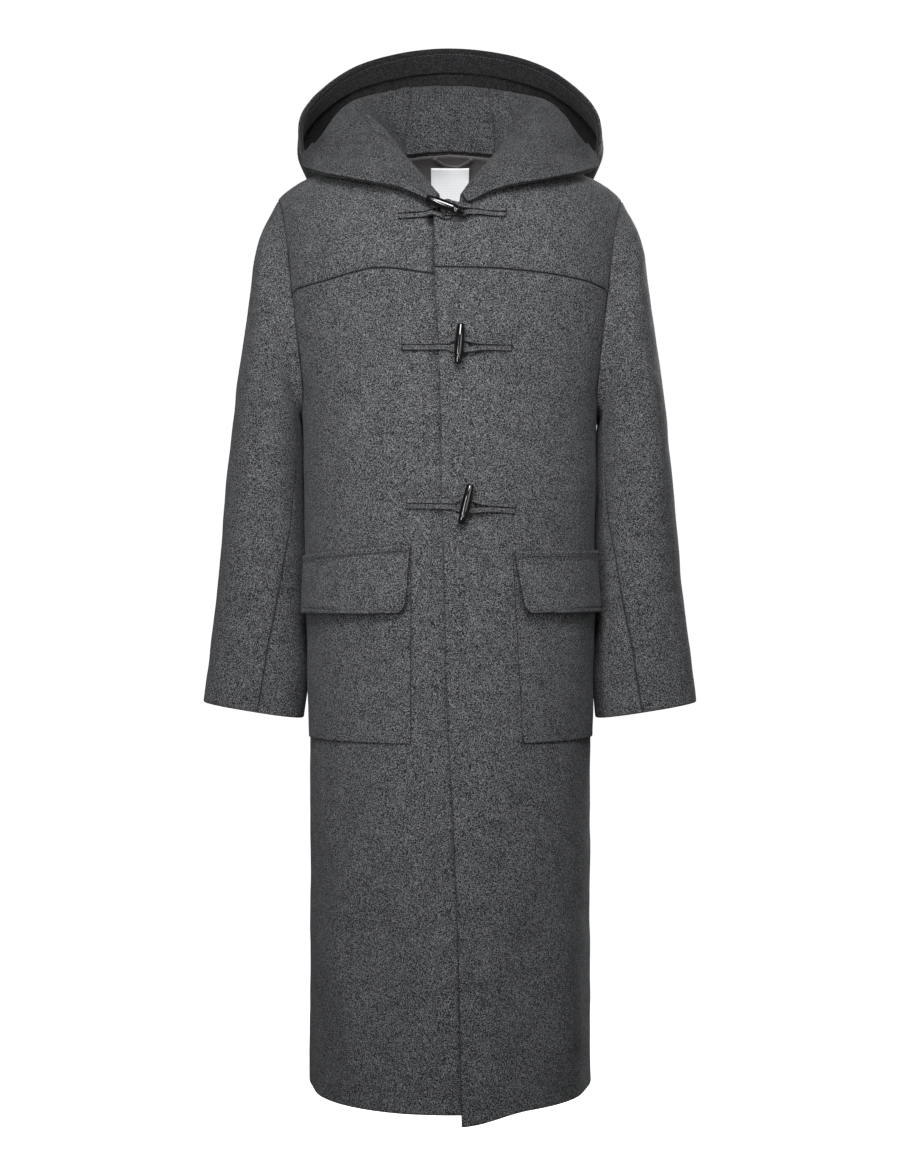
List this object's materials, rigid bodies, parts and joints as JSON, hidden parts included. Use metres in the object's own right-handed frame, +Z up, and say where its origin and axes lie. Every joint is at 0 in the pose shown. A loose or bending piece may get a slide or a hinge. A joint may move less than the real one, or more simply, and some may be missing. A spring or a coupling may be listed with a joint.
{
  "type": "duffle coat",
  "caption": "Long hooded duffle coat in wool cloth with toggle and loop closures, a yoke and flapped patch pockets, filled out as if worn.",
  "frame": {"origin": "between the neck sides of the two shoulder seams, where the wearer's shoulders carry the coat", "axes": "+Z up along the coat's length, -Y out of its front, +X towards the wearer's left"},
  "size_m": [0.583, 0.3521, 1.2632],
  "materials": {
    "wool": "brushed melange wool cloth",
    "lining": "smooth satin lining",
    "label": "blank woven label",
    "horn": "polished imitation horn"
  },
  "bodies": {
    "root": {"front_left": "wool", "front_right": "wool", "yoke_left": "wool", "yoke_right": "wool", "back": "wool", "sleeve_left_upper": "wool", "sleeve_left_under": "wool", "sleeve_right_upper": "wool", "sleeve_right_under": "wool", "hood_side_right": "wool", "hood_centre": "wool", "hood_side_left": "wool", "hood_facing": "wool", "pocket_right": "wool", "pocket_left": "wool", "flap_right": "wool", "flap_left": "wool", "loop_1": "wool", "tab_1": "wool", "toggle_1": "horn", "loop_2": "wool", "tab_2": "wool", "toggle_2": "horn", "loop_3": "wool", "tab_3": "wool", "toggle_3": "horn", "lining": "lining", "label": "label", "hanger_loop": "lining"}
  },
  "joints": []
}
